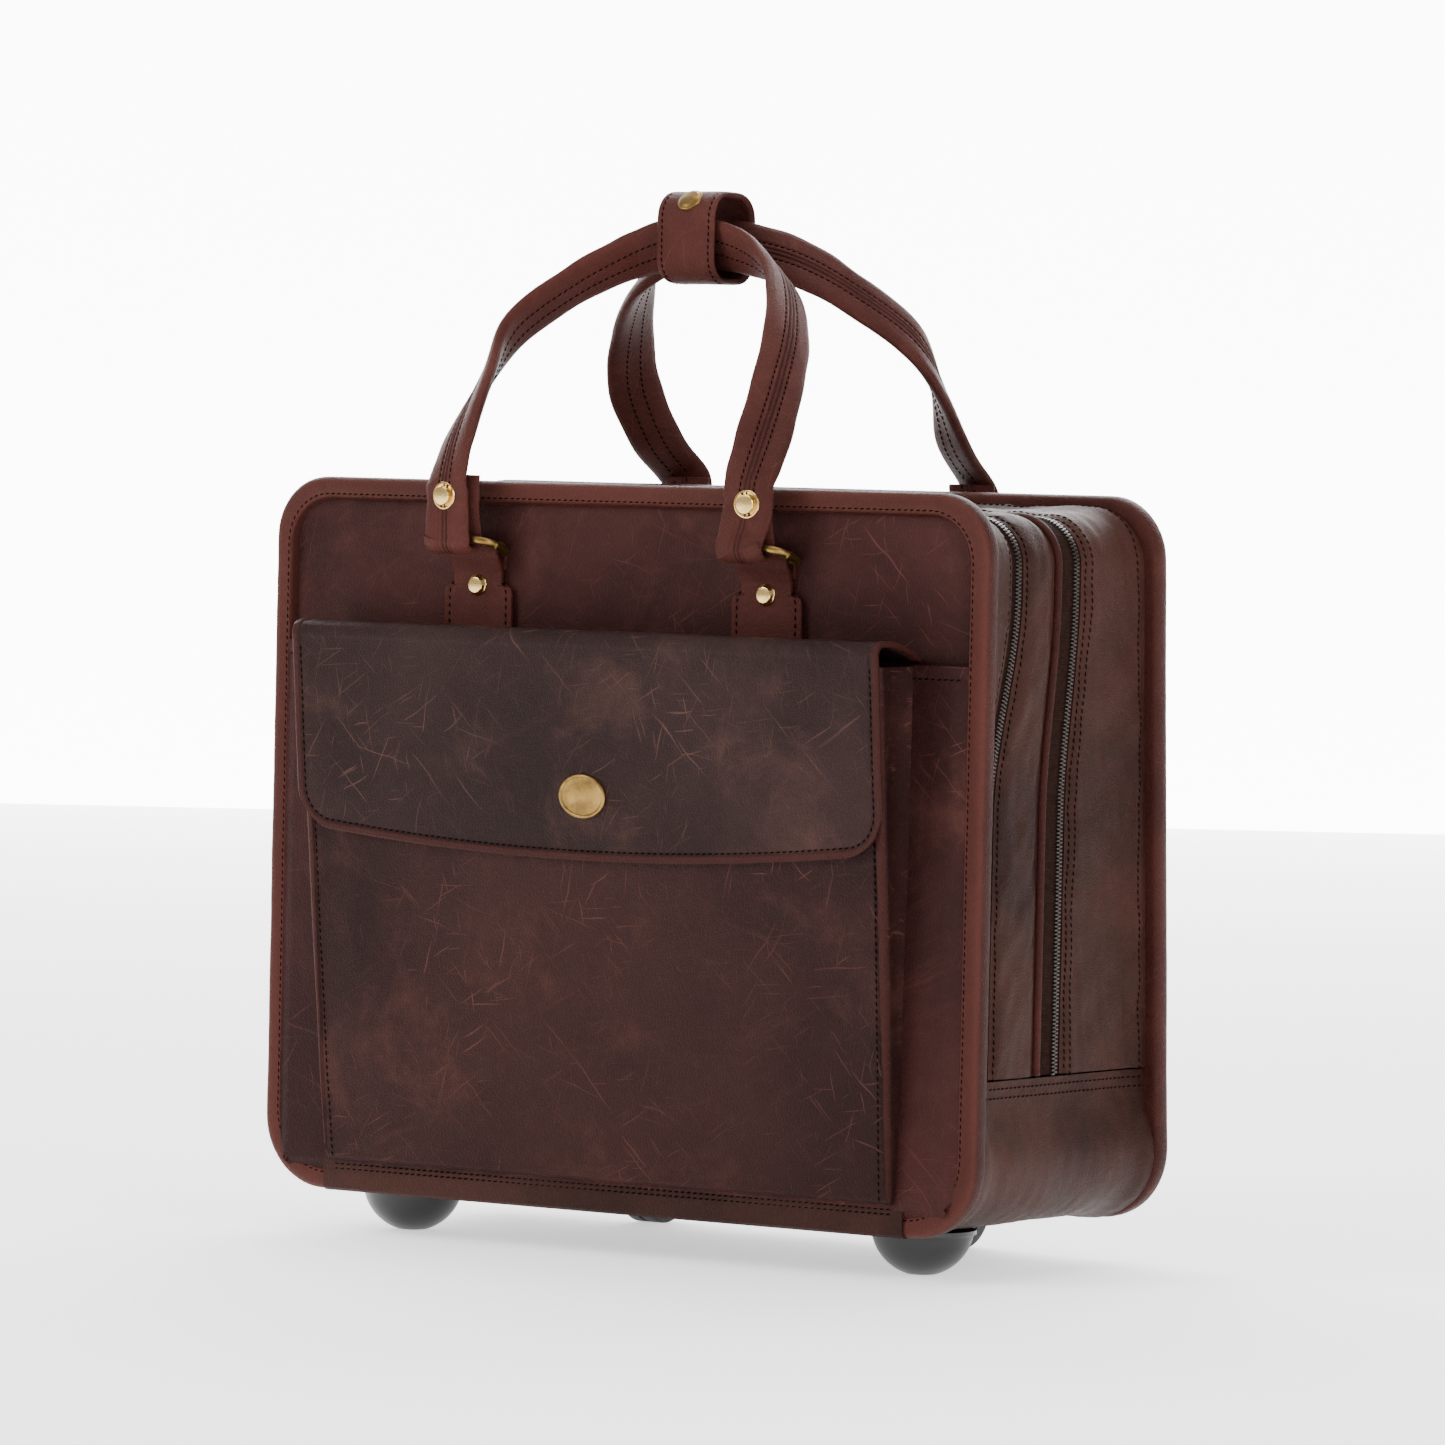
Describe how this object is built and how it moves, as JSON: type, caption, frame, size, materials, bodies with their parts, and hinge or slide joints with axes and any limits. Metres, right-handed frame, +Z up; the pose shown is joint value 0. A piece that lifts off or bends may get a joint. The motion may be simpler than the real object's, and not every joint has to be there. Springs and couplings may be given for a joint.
{
  "type": "rolling laptop case",
  "caption": "Distressed leather rolling laptop case with flap pocket, twin ring-hung handles, hidden trolley, rear wheels and front feet.",
  "frame": {"origin": "middle of the case's footprint on the floor", "axes": "+Z up, +X across the width, the front with the flap pocket faces -Y"},
  "size_m": [0.43, 0.2308, 0.5312],
  "materials": {
    "panel_leather": "distressed waxed leather, dark brown, scuffed and scratched lighter",
    "flap_leather": "distressed waxed leather, darkest brown, scuffed",
    "gusset_leather": "distressed waxed leather, brown, softly worn",
    "binding_leather": "red-brown leather binding, rubbed lighter on its edges",
    "handle_leather": "red-brown leather strap with dark thread",
    "zip_tape": "dark brown woven tape with small brass-glinting teeth",
    "board": "stiff board",
    "lining": "padded woven lining",
    "antique_brass": "antique brass, satin, darker in the hollows",
    "bright_brass": "polished pale brass",
    "magnet_steel": "plated magnetic snap",
    "black_plastic": "satin black moulded plastic",
    "grey_plastic": "satin dark grey plastic",
    "wheel_rubber": "moulded rubber",
    "steel": "plated steel",
    "tube_aluminium": "anodised aluminium tube"
  },
  "bodies": {
    "case": {"front_panel": "panel_leather", "front_binding": "binding_leather", "front_gusset": "gusset_leather", "zip_front": "zip_tape", "middle_gusset": "gusset_leather", "gusset_piping": "binding_leather", "zip_main": "zip_tape", "rear_gusset": "gusset_leather", "back_binding": "binding_leather", "back_panel": "panel_leather", "bottom_panel": "gusset_leather", "base_board": "board", "divider": "lining", "laptop_sleeve": "lining", "slip_pocket": "panel_leather", "front_pocket": "panel_leather", "flap_yoke": "flap_leather", "pocket_magnet": "magnet_steel", "front_tabs": "binding_leather", "front_tab_rivets": "bright_brass", "back_tabs": "binding_leather", "back_tab_rivets": "bright_brass", "front_feet": "black_plastic", "foot_screws": "steel", "wheel_housings": "black_plastic", "housing_screws": "steel", "wheel_axles": "steel", "trolley_outer_tubes": "tube_aluminium", "trolley_base": "black_plastic", "trolley_collar": "black_plastic"},
    "flap": {"flap": "flap_leather", "flap_plaque": "antique_brass", "flap_magnet": "magnet_steel"},
    "front_rings": {"front_d_rings": "antique_brass"},
    "front_handle": {"front_handle_strap": "handle_leather", "front_handle_rivets": "bright_brass"},
    "back_rings": {"back_d_rings": "antique_brass"},
    "back_handle": {"back_handle_strap": "handle_leather", "back_handle_rivets": "bright_brass", "wrap_band": "handle_leather", "wrap_snap": "antique_brass"},
    "trolley_middle": {"trolley_middle_tubes": "tube_aluminium"},
    "trolley_grip": {"trolley_inner_tubes": "tube_aluminium", "trolley_grip": "black_plastic", "button_spring": "steel"},
    "grip_button": {"grip_button": "grey_plastic"},
    "wheel_left": {"tyre_left": "wheel_rubber", "hub_left": "black_plastic", "bearings_left": "steel"},
    "wheel_right": {"tyre_right": "wheel_rubber", "hub_right": "black_plastic", "bearings_right": "steel"},
    "front_slider": {"front_zip_slider": "antique_brass"},
    "front_pull": {"front_zip_pull": "handle_leather"},
    "main_slider": {"main_zip_slider": "antique_brass"},
    "main_pull": {"main_zip_pull": "handle_leather"}
  },
  "joints": [
    {"name": "flap_open", "type": "hinge", "parent": "case", "child": "flap", "pos_m": [0, -0.1129, 0.31], "axis": [-1, 0, 0], "range_deg": [0, 100]},
    {"name": "front_ring_swing", "type": "hinge", "parent": "case", "child": "front_rings", "pos_m": [0, -0.07986, 0.347], "axis": [1, 0, 0], "range_deg": [0, 15], "deforming": ["wrap_band"]},
    {"name": "front_handle_swing", "type": "hinge", "parent": "front_rings", "child": "front_handle", "pos_m": [0, -0.09583, 0.35281], "axis": [1, 0, 0], "range_deg": [0, 95], "deforming": ["wrap_band"]},
    {"name": "back_ring_swing", "type": "hinge", "parent": "case", "child": "back_rings", "pos_m": [0, 0.09037, 0.347], "axis": [-1, 0, 0], "range_deg": [0, 25], "deforming": ["wrap_band"]},
    {"name": "back_handle_swing", "type": "hinge", "parent": "back_rings", "child": "back_handle", "pos_m": [0, 0.10634, 0.35281], "axis": [-1, 0, 0], "range_deg": [0, 165], "deforming": ["wrap_band"]},
    {"name": "trolley_middle_slide", "type": "slide", "parent": "case", "child": "trolley_middle", "axis": [0, 0, 1], "range_m": [0, 0.24]},
    {"name": "trolley_grip_slide", "type": "slide", "parent": "trolley_middle", "child": "trolley_grip", "axis": [0, 0, 1], "range_m": [0, 0.24]},
    {"name": "grip_button_press", "type": "slide", "parent": "trolley_grip", "child": "grip_button", "axis": [0, 0, -1], "range_m": [0, 0.003], "stiffness_N_per_m": 400, "deforming": ["button_spring"]},
    {"name": "wheel_left_spin", "type": "hinge", "parent": "case", "child": "wheel_left", "pos_m": [-0.092, 0.0924, 0.023], "axis": [1, 0, 0], "continuous": true},
    {"name": "wheel_right_spin", "type": "hinge", "parent": "case", "child": "wheel_right", "pos_m": [0.092, 0.0924, 0.023], "axis": [1, 0, 0], "continuous": true},
    {"name": "front_zip_slide", "type": "slide", "parent": "case", "child": "front_slider", "axis": [0, 0, 1], "range_m": [0, 0.105]},
    {"name": "front_pull_swing", "type": "hinge", "parent": "front_slider", "child": "front_pull", "pos_m": [-0.2086, -0.05557, 0.12], "axis": [0, 1, 0], "range_deg": [0, 150]},
    {"name": "main_zip_slide", "type": "slide", "parent": "case", "child": "main_slider", "axis": [0, 0, 1], "range_m": [0, 0.105]},
    {"name": "main_pull_swing", "type": "hinge", "parent": "main_slider", "child": "main_pull", "pos_m": [-0.2086, 0.00839, 0.12], "axis": [0, 1, 0], "range_deg": [0, 150]}
  ]
}
